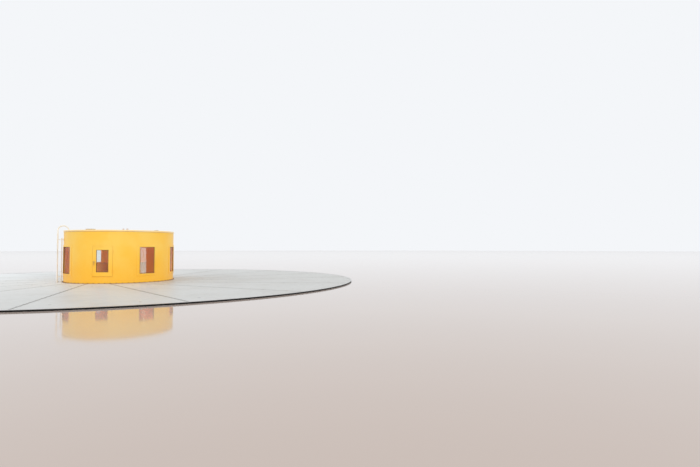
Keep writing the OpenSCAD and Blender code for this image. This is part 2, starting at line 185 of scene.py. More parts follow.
@dataclass(frozen=True)
class SprayedEnamel(Finish):
    """Two-pack polyurethane enamel, sprayed on steel sheet: an even satin skin with orange peel.

    Sheet that is rolled and welded keeps soft hollows between its stiffeners, which bend the
    reflections, and dust settles on the foot of a wall. On the drum's wall the same blend towards
    the foot is painted shade: a deeper amber lower down.
    """

    shade: str
    faded: str
    roughness: float = 0.34
    index: float = 1.5
    tone: float = 900  # mm across a patch of slightly different tone
    tone_edge: Pair = (0.35, 0.68)  # noise levels between which the tone turns
    smudge: float = 70  # mm across a dull spot
    smudge_rough: Pair = (-0.05, 0.09)  # how far the roughness strays
    wave: float = 650  # mm between the hollows in the sheet
    wave_depth: float = 1.6  # mm
    wave_bump: float = 0.35
    peel: float = 14  # mm between the humps of the orange peel; 3 mm drawn coarser to show
    peel_depth: float = 0.06  # mm
    peel_bump: float = 0.25
    # the colour blended in at the foot: dust, and on the drum's wall a deeper amber as painted
    # shade
    dust_and_shade: str = "#B9AC98"
    dust_and_shade_foot: float = 0.06  # m above the floor, up to which the dust and painted shade are thickest
    dust_and_shade_top: float = 0.3  # m above the floor, where it ends
    dust_and_shade_share: float = 0.12
    dust_and_shade_grip: float = 0.5  # share of the dust and painted shade that stays where a spot is least dull

    def tint(self, tree: Tree, place: Socket) -> Socket:
        """Mixes shade and faded shade by large soft patches.

        Args:
            tree: The material's tree.
            place: The point, as a vector socket.

        Returns:
            The colour's socket.
        """
        low, high = self.tone_edge
        patch = add_node(
            tree, "TexNoise", inputs={"Vector": place, "Scale": per_mm(self.tone), "Detail": 3.0}
        )
        share = add_node(
            tree,
            "MapRange",
            {"interpolation_type": "SMOOTHSTEP"},
            {"Value": patch.outputs[0], "From Min": low, "From Max": high},
        )
        mixed = add_node(
            tree,
            "Mix",
            {"data_type": "RGBA"},
            {0: share.outputs[0], 6: linear(self.shade), 7: linear(self.faded)},
        )
        return mixed.outputs[2]

    def dusted_and_shaded(self, tree: Tree, place: Socket, mottle: Socket) -> Socket:
        """Lays dust on the foot of the tinted face; on the drum's wall the same blend is painted
        shade.

        Args:
            tree: The material's tree.
            place: The point, as a vector socket.
            mottle: How dull the point is, from 0 to 1.

        Returns:
            The colour's socket.
        """
        axes = add_node(tree, "SeparateXYZ", inputs={0: place})
        low = add_node(
            tree,
            "MapRange",
            {"interpolation_type": "SMOOTHERSTEP"},
            {
                "Value": axes.outputs["Z"],
                "From Min": self.dust_and_shade_foot,
                "From Max": self.dust_and_shade_top,
                "To Min": self.dust_and_shade_share,
                "To Max": 0.0,
            },
        )
        grip = add_node(tree, "MapRange", inputs={"Value": mottle, "To Min": self.dust_and_shade_grip})
        foot_blend = add_node(
            tree, "Math", {"operation": "MULTIPLY"}, {0: low.outputs[0], 1: grip.outputs[0]}
        )
        mixed = add_node(
            tree,
            "Mix",
            {"data_type": "RGBA"},
            {0: foot_blend.outputs[0], 6: self.tint(tree, place), 7: linear(self.dust_and_shade)},
        )
        return mixed.outputs[2]

    def relief(self, tree: Tree, place: Socket) -> Socket:
        """Bends the face by the hollows of the sheet and by the orange peel.

        Args:
            tree: The material's tree.
            place: The point, as a vector socket.

        Returns:
            The normal's socket.
        """
        wave = add_node(
            tree, "TexNoise", inputs={"Vector": place, "Scale": per_mm(self.wave), "Detail": 1.0}
        )
        hollow = add_node(
            tree,
            "Bump",
            inputs={
                "Strength": self.wave_bump,
                "Distance": self.wave_depth * MM,
                "Height": wave.outputs[0],
            },
        )
        peel = add_node(
            tree, "TexNoise", inputs={"Vector": place, "Scale": per_mm(self.peel), "Detail": 2.0}
        )
        skin = add_node(
            tree,
            "Bump",
            inputs={
                "Strength": self.peel_bump,
                "Distance": self.peel_depth * MM,
                "Height": peel.outputs[0],
                "Normal": hollow.outputs[0],
            },
        )
        return skin.outputs[0]

    def paint(self, tree: Tree, place: Socket) -> Socket:
        """Joins the dusty colour, the uneven gloss and the relief.

        Args:
            tree: The material's tree.
            place: The point, as a vector socket.

        Returns:
            The shader's socket.
        """
        gloss, dull = self.smudge_rough
        mottle = add_node(
            tree, "TexNoise", inputs={"Vector": place, "Scale": per_mm(self.smudge), "Detail": 6.0}
        )
        rough = add_node(
            tree,
            "MapRange",
            inputs={
                "Value": mottle.outputs[0],
                "To Min": self.roughness + gloss,
                "To Max": self.roughness + dull,
            },
        )
        shader = add_node(
            tree,
            "BsdfPrincipled",
            inputs={
                "Base Color": self.dusted_and_shaded(tree, place, mottle.outputs[0]),
                "Roughness": rough.outputs[0],
                "IOR": self.index,
                "Normal": self.relief(tree, place),
            },
        )
        return shader.outputs[0]


@dataclass(frozen=True)
class InsideShadedEnamel(SprayedEnamel):
    """The enamel of a round wall whose inner side and reveals are brown, a painted shade of the dim
    chamber and of the recesses.
    """

    # brown painted shade, on the wall's inner side and the reveals
    inside_shade: str = "#BA7238"
    enamel_from: float = 2.076  # m from the drum's axis, where the painted shade inside ends
    blur: float = 0.001  # m at each side of that edge

    def tint(self, tree: Tree, place: Socket) -> Socket:
        """Swaps the enamel for the brown painted shade inside its edge.

        Args:
            tree: The material's tree.
            place: The point, as a vector socket.

        Returns:
            The colour's socket.
        """
        outside = add_node(
            tree,
            "MapRange",
            inputs={
                "Value": from_axis(tree, place),
                "From Min": self.enamel_from - self.blur,
                "From Max": self.enamel_from + self.blur,
            },
        )
        mixed = add_node(
            tree,
            "Mix",
            {"data_type": "RGBA"},
            {0: outside.outputs[0], 6: linear(self.inside_shade), 7: super().tint(tree, place)},
        )
        return mixed.outputs[2]


@dataclass(frozen=True)
class RolledFloorPaint(Finish):
    """Epoxy floor enamel rolled on steel plate: satin grey, with roller stipple and foot scuffs.

    Cleaning water leaves a darker edge along each rubber joint. The joints all pass the axis
    at the same distance, so the angle of the tangent through a point says how near one is.
    """

    shade: str = "#C7C8C6"
    worn: str = "#BBBAB6"
    edge: str = "#6F6B66"
    roughness: float = 0.42
    index: float = 1.5
    patch: float = 1800  # mm across a worn patch
    patch_edge: Pair = (0.42, 0.75)  # noise levels between which the wear grows
    patch_share: float = 0.75
    scuff: float = 160  # mm across a scuff
    scuff_edge: Pair = (0.3, 0.7)
    scuff_rough: Pair = (-0.06, 0.1)  # how far the roughness strays
    stipple: float = 12  # mm between the roller's humps; 3 mm drawn coarser to show
    stipple_depth: float = 0.15  # mm
    stipple_bump: float = 0.3
    edge_width: float = 0.06  # m of darker paint beside a joint
    edge_grip: float = 0.5  # share of the darker paint where the scuffs are least
    joint_offset: float = JOINT_OFFSET
    joint_first: float = JOINT_FIRST
    joint_step: float = 360 / PLATES  # degrees from joint to joint

    def to_joint(self, tree: Tree, place: Socket) -> Socket:
        """Measures how far a point of the cover lies from the nearest joint.

        Args:
            tree: The material's tree.
            place: The point, as a vector socket.

        Returns:
            A socket with the distance in metres.
        """
        radius = from_axis(tree, place)
        axes = add_node(tree, "SeparateXYZ", inputs={0: place})
        bearing = add_node(
            tree, "Math", {"operation": "ARCTAN2"}, {0: axes.outputs["Y"], 1: axes.outputs["X"]}
        )
        share = add_node(tree, "Math", {"operation": "DIVIDE"}, {0: self.joint_offset, 1: radius})
        lean = add_node(tree, "Math", {"operation": "ARCSINE"}, {0: share.outputs[0]})
        tangent = add_node(
            tree, "Math", {"operation": "ADD"}, {0: bearing.outputs[0], 1: lean.outputs[0]}
        )
        step = math.radians(self.joint_step)
        start = math.radians(self.joint_first) - step / 2
        turned = add_node(
            tree, "Math", {"operation": "SUBTRACT"}, {0: tangent.outputs[0], 1: start}
        )
        folded = add_node(
            tree, "Math", {"operation": "FLOORED_MODULO"}, {0: turned.outputs[0], 1: step}
        )
        off = add_node(
            tree, "Math", {"operation": "SUBTRACT"}, {0: folded.outputs[0], 1: step / 2}
        )
        arc = add_node(tree, "Math", {"operation": "ABSOLUTE"}, {0: off.outputs[0]})
        away = add_node(tree, "Math", {"operation": "MULTIPLY"}, {0: arc.outputs[0], 1: radius})
        return away.outputs[0]

    def tint(self, tree: Tree, place: Socket, mottle: Socket) -> Socket:
        """Draws worn patches and the darker joint edges over the plain grey.

        Args:
            tree: The material's tree.
            place: The point, as a vector socket.
            mottle: How scuffed the point is, from 0 to 1.

        Returns:
            The colour's socket.
        """
        low, high = self.patch_edge
        wear = add_node(
            tree,
            "TexNoise",
            inputs={"Vector": place, "Scale": per_mm(self.patch), "Detail": 6.0, "Roughness": 0.6},
        )
        worn = add_node(
            tree,
            "MapRange",
            {"interpolation_type": "SMOOTHSTEP"},
            {
                "Value": wear.outputs[0],
                "From Min": low,
                "From Max": high,
                "To Max": self.patch_share,
            },
        )
        base = add_node(
            tree,
            "Mix",
            {"data_type": "RGBA"},
            {0: worn.outputs[0], 6: linear(self.shade), 7: linear(self.worn)},
        )
        near = add_node(
            tree,
            "MapRange",
            {"interpolation_type": "SMOOTHSTEP"},
            {
                "Value": self.to_joint(tree, place),
                "From Max": self.edge_width,
                "To Min": 1.0,
                "To Max": 0.0,
            },
        )
        grip = add_node(tree, "MapRange", inputs={"Value": mottle, "To Min": self.edge_grip})
        stain = add_node(
            tree, "Math", {"operation": "MULTIPLY"}, {0: near.outputs[0], 1: grip.outputs[0]}
        )
        mixed = add_node(
            tree,
            "Mix",
            {"data_type": "RGBA"},
            {0: stain.outputs[0], 6: base.outputs[2], 7: linear(self.edge)},
        )
        return mixed.outputs[2]

    def paint(self, tree: Tree, place: Socket) -> Socket:
        """Joins the worn colour, the uneven gloss and the stipple.

        Args:
            tree: The material's tree.
            place: The point, as a vector socket.

        Returns:
            The shader's socket.
        """
        low, high = self.scuff_edge
        gloss, dull = self.scuff_rough
        scuff = add_node(
            tree, "TexNoise", inputs={"Vector": place, "Scale": per_mm(self.scuff), "Detail": 8.0}
        )
        rough = add_node(
            tree,
            "MapRange",
            inputs={
                "Value": scuff.outputs[0],
                "From Min": low,
                "From Max": high,
                "To Min": self.roughness + gloss,
                "To Max": self.roughness + dull,
            },
        )
        stipple = add_node(
            tree, "TexNoise", inputs={"Vector": place, "Scale": per_mm(self.stipple), "Detail": 2.0}
        )
        skin = add_node(
            tree,
            "Bump",
            inputs={
                "Strength": self.stipple_bump,
                "Distance": self.stipple_depth * MM,
                "Height": stipple.outputs[0],
            },
        )
        shader = add_node(
            tree,
            "BsdfPrincipled",
            inputs={
                "Base Color": self.tint(tree, place, scuff.outputs[0]),
                "Roughness": rough.outputs[0],
                "IOR": self.index,
                "Normal": skin.outputs[0],
            },
        )
        return shader.outputs[0]


@dataclass(frozen=True)
class MouldedRubber(Finish):
    """EPDM rubber, extruded: dull black that chalks to grey on top."""

    shade: str
    chalk: str
    roughness: float = 0.8
    index: float = 1.5
    mottle: float = 25  # mm across a chalky spot
    mottle_depth: float = 0.2  # mm
    mottle_bump: float = 0.4

    def paint(self, tree: Tree, place: Socket) -> Socket:
        """Mixes black and chalked grey by a fine mottle.

        Args:
            tree: The material's tree.
            place: The point, as a vector socket.

        Returns:
            The shader's socket.
        """
        mottle = add_node(
            tree, "TexNoise", inputs={"Vector": place, "Scale": per_mm(self.mottle), "Detail": 5.0}
        )
        base = add_node(
            tree,
            "Mix",
            {"data_type": "RGBA"},
            {0: mottle.outputs[0], 6: linear(self.shade), 7: linear(self.chalk)},
        )
        skin = add_node(
            tree,
            "Bump",
            inputs={
                "Strength": self.mottle_bump,
                "Distance": self.mottle_depth * MM,
                "Height": mottle.outputs[0],
            },
        )
        shader = add_node(
            tree,
            "BsdfPrincipled",
            inputs={
                "Base Color": base.outputs[2],
                "Roughness": self.roughness,
                "IOR": self.index,
                "Normal": skin.outputs[0],
            },
        )
        return shader.outputs[0]


@dataclass(frozen=True)
class BareMetal(Finish):
    """A bare metal face: streaks from brushing or rolling, and a spread of gloss from handling."""

    shade: str
    dull: str
    roughness: float = 0.34
    mottle: float = 40  # mm across a duller spot
    grain: float = 1.6  # mm between streaks; 0.2 mm drawn coarser to show
    grain_stretch: float = 30  # length of a streak against its width
    grain_rough: Pair = (-0.08, 0.12)  # how far the roughness strays
    grain_depth: float = 0.05  # mm
    grain_bump: float = 0.2

    def paint(self, tree: Tree, place: Socket) -> Socket:
        """Draws streaks along the height and a mottle over them.

        Args:
            tree: The material's tree.
            place: The point, as a vector socket.

        Returns:
            The shader's socket.
        """
        bright, matt = self.grain_rough
        lay = add_node(
            tree, "Mapping", inputs={0: place, "Scale": (1.0, 1.0, 1 / self.grain_stretch)}
        )
        streak = add_node(
            tree,
            "TexNoise",
            inputs={"Vector": lay.outputs[0], "Scale": per_mm(self.grain), "Detail": 2.0},
        )
        mottle = add_node(
            tree, "TexNoise", inputs={"Vector": place, "Scale": per_mm(self.mottle), "Detail": 5.0}
        )
        base = add_node(
            tree,
            "Mix",
            {"data_type": "RGBA"},
            {0: mottle.outputs[0], 6: linear(self.shade), 7: linear(self.dull)},
        )
        rough = add_node(
            tree,
            "MapRange",
            inputs={
                "Value": streak.outputs[0],
                "To Min": self.roughness + bright,
                "To Max": self.roughness + matt,
            },
        )
        skin = add_node(
            tree,
            "Bump",
            inputs={
                "Strength": self.grain_bump,
                "Distance": self.grain_depth * MM,
                "Height": streak.outputs[0],
            },
        )
        shader = add_node(
            tree,
            "BsdfPrincipled",
            inputs={
                "Base Color": base.outputs[2],
                "Metallic": 1.0,
                "Roughness": rough.outputs[0],
                "Normal": skin.outputs[0],
            },
        )
        return shader.outputs[0]


@dataclass(frozen=True)
class FloatGlass(Finish):
    """Float glass with a sputtered oxide coat: clear, flat, and with even, faint reflections.

    Lamps reach what stands behind it. The coat reflects, so the sheet under it hardly does.
    """

    tint: str = "#F2F6F5"
    index: float = 1.03
    coat: float = 0.13
    coat_index: float = 2.5  # titanium oxide
    coat_roughness: float = 0.02
    wipe: float = 220  # mm across a wipe mark
    wipe_edge: Pair = (0.45, 0.8)  # noise levels between which a mark grows
    wipe_rough: float = 0.03

    def paint(self, tree: Tree, place: Socket) -> Socket:
        """Puts a clear film in the way of lamp rays and glass in the way of the others.

        Args:
            tree: The material's tree.
            place: The point, as a vector socket.

        Returns:
            The shader's socket.
        """
        low, high = self.wipe_edge
        smear = add_node(
            tree, "TexNoise", inputs={"Vector": place, "Scale": per_mm(self.wipe), "Detail": 4.0}
        )
        rough = add_node(
            tree,
            "MapRange",
            inputs={
                "Value": smear.outputs[0],
                "From Min": low,
                "From Max": high,
                "To Max": self.wipe_rough,
            },
        )
        sheet = add_node(
            tree,
            "BsdfPrincipled",
            inputs={
                "Base Color": linear(self.tint),
                "Roughness": rough.outputs[0],
                "IOR": self.index,
                "Transmission Weight": 1.0,
                "Coat Weight": self.coat,
                "Coat Roughness": self.coat_roughness,
                "Coat IOR": self.coat_index,
            },
        )
        film = add_node(tree, "BsdfTransparent", inputs={0: linear(self.tint)})
        rays = add_node(tree, "LightPath")
        both = add_node(
            tree,
            "MixShader",
            inputs={0: rays.outputs["Is Shadow Ray"], 1: sheet.outputs[0], 2: film.outputs[0]},
        )
        return both.outputs[0]


# The drum's enamel is one deep warm yellow with a satin gloss. On the wall a painted shade
# deepens it towards the floor, and a brown painted shade on the wall's inner side gives the
# openings their depth. The door's station is enamelled on its edges too, so that no brown line
# frames the closed leaf.
DRUM_ENAMEL = SprayedEnamel("amber_polyurethane_enamel", "#FFC846", "#FFD05C")
SHADED_WALL_ENAMEL = InsideShadedEnamel(
    "amber_enamel_with_painted_shade",
    DRUM_ENAMEL.shade,
    DRUM_ENAMEL.faded,
    # painted shade: the wall's amber deepens towards the floor, up to 1.7 m
    dust_and_shade="#FAB41C",
    dust_and_shade_top=1.7,
    dust_and_shade_share=0.8,
)
DOOR_ENAMEL = replace(SHADED_WALL_ENAMEL, name="amber_enamel_on_edges_too", enamel_from=2.003)

# The other enamels: a paler rim round the roof, matt ochre casings, a black band round the cover,
# a brown foot, and near-white fittings that stay clean above the dust. The rim's paleness is a
# painted highlight, and the casings' ochre is the drum's amber darkened by painted shade.
# painted highlight: the rim is paler, for its lit top edge
RIM_HIGHLIGHT_ENAMEL = SprayedEnamel("rim_enamel_with_painted_highlight", "#FFDE9A", "#FFE3A8", dust_and_shade_share=0.0)
# painted shade: the casings' amber is darkened to ochre for the dim chamber
INNER_SHADED_ENAMEL = SprayedEnamel("inner_amber_with_painted_shade", "#C68842", "#CA8F4A", roughness=0.5)
KERB_ENAMEL = SprayedEnamel(
    "black_kerb_enamel", "#0B0A0A", "#121111", roughness=0.5, dust_and_shade="#2E2B28", index=1.3
)
FLANGE_ENAMEL = SprayedEnamel("brown_flange_enamel", "#80553A", "#8A5E42", dust_and_shade="#9A7C62")
GREY_ENAMEL = SprayedEnamel("grey_machine_enamel", "#CFC6CE", "#D5CED3", dust_and_shade_share=0.0)
HATCH_ENAMEL = SprayedEnamel("pale_hatch_enamel", "#D3CCBF", "#DAD4C8", dust_and_shade_share=0.0)
LADDER_ENAMEL = SprayedEnamel("white_tube_enamel", "#F7F6F3", "#F0EFEB", roughness=0.28)
COVER_PAINT = RolledFloorPaint("grey_epoxy_floor_enamel")

# Rubber gives thin dull lines, dark between the plates and brownish round the glass.
JOINT_RUBBER = MouldedRubber("extruded_epdm_rubber", "#151514", "#33312F")
SEAL_RUBBER = MouldedRubber("glazing_seal_rubber", "#4A4238", "#6B5F4E")

# Metals give the small bright marks: a thin line of trim, screw heads and the lever.
EDGE_TRIM = BareMetal("rolled_aluminium_angle", "#D8D8D6", "#BDBDBA")
STAINLESS = BareMetal("brushed_stainless_steel", "#B4B2AE", "#99979A")
BRASS = BareMetal("lacquered_brass", "#F2CB7A", "#DDB465", roughness=0.45)
ZINC = BareMetal("zinc_plated_steel", "#A6A7A6", "#8C8D8E", roughness=0.45)
PANE = FloatGlass("coated_float_glass")


# Modelling helpers


def top_of(node: str) -> float:
    """Gives the height of a CAD node's highest point above the floor."""
    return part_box(node)[1].z


def reach_of(node: str) -> float:
    """Gives the radius of a round CAD node that stands on the axis."""
    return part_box(node)[1].x


def dress(finish: Finish, *nodes: str) -> None:
    """Gives CAD nodes a finish.

    Args:
        finish: The finish to put on.
        nodes: Names of CAD nodes, or starts of names that end in an underscore.
    """
    for name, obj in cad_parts.items():
        if any(name == n or (n.endswith("_") and name.startswith(n)) for n in nodes):
            if not obj.material_slots:
                obj.data.materials.append(None)
            for slot in obj.material_slots:
                slot.material = finish.material()
            LOG.info("%s: %s", name, finish.name)


def place_piece(
    name: str, shape: Shape, body: Body, finish: Finish, crease: float = 35
) -> Piece:
    """Turns a finished shape into a piece of the object.

    Args:
        name: The piece's name.
        shape: Its shape, freed here.
        body: The body that it rides on.
        finish: What it is finished with.
        crease: Degrees between faces above which an edge stays sharp.

    Returns:
        The piece.
    """
    bmesh.ops.recalc_face_normals(shape, faces=shape.faces)
    mesh = bpy.data.meshes.new(name)
    shape.to_mesh(mesh)
    shape.free()
    mesh.shade_smooth()
    mesh.set_sharp_from_angle(angle=math.radians(crease))
    mesh.materials.append(finish.material())
    piece = bpy.data.objects.new(name, mesh)
    bpy.context.scene.collection.objects.link(piece)
    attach(piece, body.value)
    LOG.info("%s: %d faces, on %s", name, len(mesh.polygons), body.value)
    return piece


def turned(azimuth: float) -> Matrix:
    """Gives a turn about the upright axis by azimuth degrees."""
    return Matrix.Rotation(math.radians(azimuth), 4, "Z")


def outward(azimuth: float, radius: float, height: float) -> Matrix:
    """Gives a place on the drum whose local +Z points away from the drum's axis.

    Args:
        azimuth: Direction of the place, in degrees.
        radius: Distance from the axis.
        height: Height above the floor.

    Returns:
        The place, with local +Y up.
    """
    spot = turned(azimuth) @ Vector((radius, 0, height))
    return Matrix.Translation(spot) @ turned(azimuth + 90) @ Matrix.Rotation(math.pi / 2, 4, "X")


def upright(azimuth: float, radius: float, height: float) -> Matrix:
    """Gives a place whose local +Z points up and local +X away from the axis."""
    return turned(azimuth) @ Matrix.Translation((radius, 0, height))


def rectangle_points(width: float, height: float, pitch: float) -> Iterator[Pair]:
    """Walks round a rectangle and yields evenly spaced points, one at each corner.

    Args:
        width: Its width, centred on 0.
        height: Its height, from 0 up.
        pitch: About how far the points stand apart.

    Yields:
        Each point's offsets across and up.
    """
    across = max(1, round(width / pitch))
    up = max(1, round(height / pitch))
    for i in range(across + 1):
        yield -width / 2 + width * i / across, 0.0
        yield -width / 2 + width * i / across, height
    for j in range(1, up):
        yield -width / 2, height * j / up
        yield width / 2, height * j / up


@dataclass(frozen=True)
class HexBolt:
    """A hexagon bolt head on its washer, seated at local z = 0."""

    flats: float  # m across the flats
    washer: float  # m across the washer
    washer_thick: float = 1 / 8  # against the flats, as the head's height is
    head_tall: float = 0.65
    chamfer: float = 0.15  # share of the head's height
    chamfer_in: float = 0.84  # width of the head's top against its foot
    washer_in: float = 0.96  # width of the washer's top against its foot

    def add(self, shape: Shape, place: Matrix) -> None:
        """Adds one bolt.

        Args:
            shape: The shape to add it to.
            place: Where it is seated, with its axis along local +Z.
        """
        thick = self.flats * self.washer_thick
        head = self.flats * self.head_tall
        chamfer = head * self.chamfer
        washer = self.washer / 2
        corner = self.flats / math.sqrt(3)
        for segments, low, high, tall, base in (
            (20, washer, washer * self.washer_in, thick, 0.0),
            (6, corner, corner, head - chamfer, thick),
            (6, corner, corner * self.chamfer_in, chamfer, thick + head - chamfer),
        ):
            bmesh.ops.create_cone(
                shape,
                cap_ends=True,
                segments=segments,
                radius1=low,
                radius2=high,
                depth=tall,
                matrix=place @ Matrix.Translation((0, 0, base + tall / 2)),
            )


@dataclass(frozen=True)
class SocketScrew:
    """A flat screw head with a socket in it, seated at local z = 0."""

    across: float  # m across the head
    proud: float  # m that the head stands proud
    land: float = 0.27  # width of the flat ring round the socket, against the head
    socket_deep: float = 0.7  # against the head's height

    def add(self, shape: Shape, place: Matrix) -> None:
        """Adds one screw head.

        Args:
            shape: The shape to add it to.
            place: Where it is seated, with its axis along local +Z.
        """
        disc = bmesh.ops.create_circle(
            shape, cap_ends=True, segments=12, radius=self.across / 2, matrix=place
        )
        face = disc["verts"][0].link_faces[0]
        lift = place.to_3x3() @ Vector((0, 0, self.proud))
        raised = bmesh.ops.extrude_face_region(shape, geom=[face])
        top = [g for g in raised["geom"] if isinstance(g, bmesh.types.BMFace)][0]
        bmesh.ops.translate(shape, verts=list(top.verts), vec=lift)
        bmesh.ops.inset_region(
            shape, faces=[top], thickness=self.across * self.land, depth=0.0, use_even_offset=True
        )
        bmesh.ops.translate(shape, verts=list(top.verts), vec=-lift * self.socket_deep)


@dataclass(frozen=True)
class RubberSeal:
    """A flat rubber frame round a pane."""

    band: float  # m across each of its four sides
    thick: float

    def add(self, shape: Shape, size: Pair, place: Matrix) -> None:
        """Adds one seal.

        Args:
            shape: The shape to add it to.
            size: Its outer width and height.
            place: Where its centre goes, with its width along local X and local +Z outwards.
        """
        grid = bmesh.ops.create_grid(
            shape,
            x_segments=1,
            y_segments=1,
            size=0.5,
            matrix=place @ Matrix.Diagonal((size[0], size[1], 1, 1)),
        )
        inner = grid["verts"][0].link_faces[0]
        rim = bmesh.ops.inset_region(
            shape, faces=[inner], thickness=self.band, use_boundary=True, use_even_offset=True
        )
        bmesh.ops.delete(shape, geom=[inner], context="FACES")
        raised = bmesh.ops.extrude_face_region(shape, geom=rim["faces"], use_keep_orig=True)
        verts = [g for g in raised["geom"] if isinstance(g, bmesh.types.BMVert)]
        lift = place.to_3x3() @ Vector((0, 0, self.thick))
        bmesh.ops.translate(shape, verts=verts, vec=lift)


# Sub-assemblies


@dataclass
class FloorCover:
    """The round cover: plates with oblique joints, rubber strips, kerb and edge trim."""

    top: float = top_of("drum_floor")
    inner: float = 2.1  # radius at which the joints start
    outer: float = 9.66  # just inside the edge trim
    screw: SocketScrew = SocketScrew(across=0.03, proud=0.0015)
    screw_back: float = 0.045  # from the joint's middle to a row of screws
    screw_ends: Pair = (0.2, 0.1)  # from the joint's ends to its first and last screws
    screw_pitch: float = 0.45
    plug: SocketScrew = SocketScrew(across=0.07, proud=0.002)
    plug_places: tuple[Pair, ...] = ((3.3, 0.45), (3.3, 1.0), (8.9, 0.6), (8.9, 2.6))

    def along_joint(self, radius: float) -> float:
        """Gives how far from its foot a joint's line reaches a radius."""
        return math.sqrt(radius**2 - JOINT_OFFSET**2)

    def joint_place(self, index: int, along: float, side: float) -> Matrix:
        """Gives a place beside a joint.

        Args:
            index: The joint's number.
            along: Distance along the joint from the point nearest to the axis.
            side: Distance to the joint's left.

        Returns:
            The place, on the cover's face.
        """
        turn = turned(JOINT_FIRST + index * 360 / PLATES)
        return Matrix.Translation(turn @ Vector((along, side - JOINT_OFFSET, self.top)))

    def screws(self) -> Piece:
        """Models the flat screws in two rows along every joint.

        Returns:
            The screws, as one piece.
        """
        shape = bmesh.new()
        start = self.along_joint(self.inner) + self.screw_ends[0]
        end = self.along_joint(self.outer) - self.screw_ends[1]
        count = int((end - start) / self.screw_pitch)
        for index in range(PLATES):
            for step in range(count + 1):
                along = start + (end - start) * step / count
                for side in (-self.screw_back, self.screw_back):
                    self.screw.add(shape, self.joint_place(index, along, side))
        return place_piece("cover_screws", shape, Body.HOUSING, ZINC)

    def plugs(self) -> Piece:
        """Models the round plugs over the lifting sockets, four to a plate.

        Returns:
            The plugs, as one piece.
        """
        shape = bmesh.new()
        for index in range(PLATES):
            for along, side in self.plug_places:
                self.plug.add(shape, self.joint_place(index, along, side))
        return place_piece("lifting_plugs", shape, Body.HOUSING, STAINLESS)

    def build(self) -> None:
        """Finishes the cover's nodes and adds its fixings."""
        dress(COVER_PAINT, "cover_plate_", "drum_floor")
        dress(JOINT_RUBBER, "cover_joints")
        dress(KERB_ENAMEL, "kerb")
        dress(EDGE_TRIM, "kerb_trim")
        self.screws()
        self.plugs()


@dataclass(frozen=True)
class Window:
    """One window of the drum: its station, clear width, and turn in its panel in degrees."""

    station: int
    width: float = 0.622
    turn: float = 0.0


@dataclass
class DrumShell:
    """The drum's wall with its base flange, rim and five windows."""

    flange_top: float = top_of("base_flange")
    bolt: HexBolt = HexBolt(flats=0.024, washer=0.03)
    bolt_circle: float = 2.1
    bolt_count: int = 64
    stations: int = 8
    windows: tuple[Window, ...] = (
        Window(1), Window(2), Window(3), Window(5), Window(7, width=0.842, turn=-6.8)
    )
    window_foot: float = 0.395
    window_height: float = 1.045
    frame_band: Pair = (0.11, 0.088)  # beside a window, and over and under it
    frame_proud: float = 0.015
    screw: SocketScrew = SocketScrew(across=0.012, proud=0.0015)
    screw_pitch: float = 0.18
    groove: float = 0.013
    glass_back: float = 0.008  # from the wall's face to the glass, at an opening's sides
    seal: RubberSeal = RubberSeal(band=0.014, thick=0.006)

    def azimuth(self, window: Window) -> float:
        """Gives a window's direction in degrees."""
        return DOOR_AZIMUTH + 360 / self.stations * window.station + window.turn

    def pane_face(self, window: Window) -> float:
        """Gives the distance of a window's flat glass from the drum's axis."""
        half = window.width / 2 + self.groove
        return math.sqrt(DRUM_RADIUS**2 - half**2) - self.glass_back

    def base_bolts(self) -> Piece:
        """Models the bolts that hold the base flange.

        Returns:
            The bolts, as one piece.
        """
        shape = bmesh.new()
        for k in range(self.bolt_count):
            azimuth = (k + 0.5) * 360 / self.bolt_count
            self.bolt.add(shape, upright(azimuth, self.bolt_circle, self.flange_top))
        return place_piece("base_flange_bolts", shape, Body.HOUSING, FLANGE_ENAMEL)

    def frame_screws(self) -> Piece:
        """Models the flat screws round each window frame, on the middle of its bands.

        Returns:
            The screws, as one piece.
        """
        shape = bmesh.new()
        beside, above = self.frame_band
        foot = self.window_foot - above / 2
        face = DRUM_RADIUS + self.frame_proud
        for window in self.windows:
            width = window.width + beside
            for across, up in rectangle_points(width, self.window_height + above, self.screw_pitch):
                azimuth = self.azimuth(window) + math.degrees(math.asin(across / face))
                self.screw.add(shape, outward(azimuth, face, foot + up))
        return place_piece("window_frame_screws", shape, Body.HOUSING, STAINLESS)

    def seals(self) -> Piece:
        """Models the rubber seal that holds each pane from outside.

        Returns:
            The seals, as one piece.
        """
        shape = bmesh.new()
        middle = self.window_foot + self.window_height / 2
        for window in self.windows:
            place = outward(self.azimuth(window), self.pane_face(window), middle)
            self.seal.add(shape, (window.width, self.window_height), place)
        return place_piece("window_seals", shape, Body.HOUSING, SEAL_RUBBER)

    def build(self) -> None:
        """Finishes the shell's nodes and adds its fixings."""
        dress(SHADED_WALL_ENAMEL, "wall_panel_", "window_frames")
        dress(DOOR_ENAMEL, "door_post_", "door_header", "door_sill")
        dress(FLANGE_ENAMEL, "base_flange")
        dress(RIM_HIGHLIGHT_ENAMEL, "rim_flange")
        dress(PANE, "window_panes")
        self.base_bolts()
        self.frame_screws()
        self.seals()


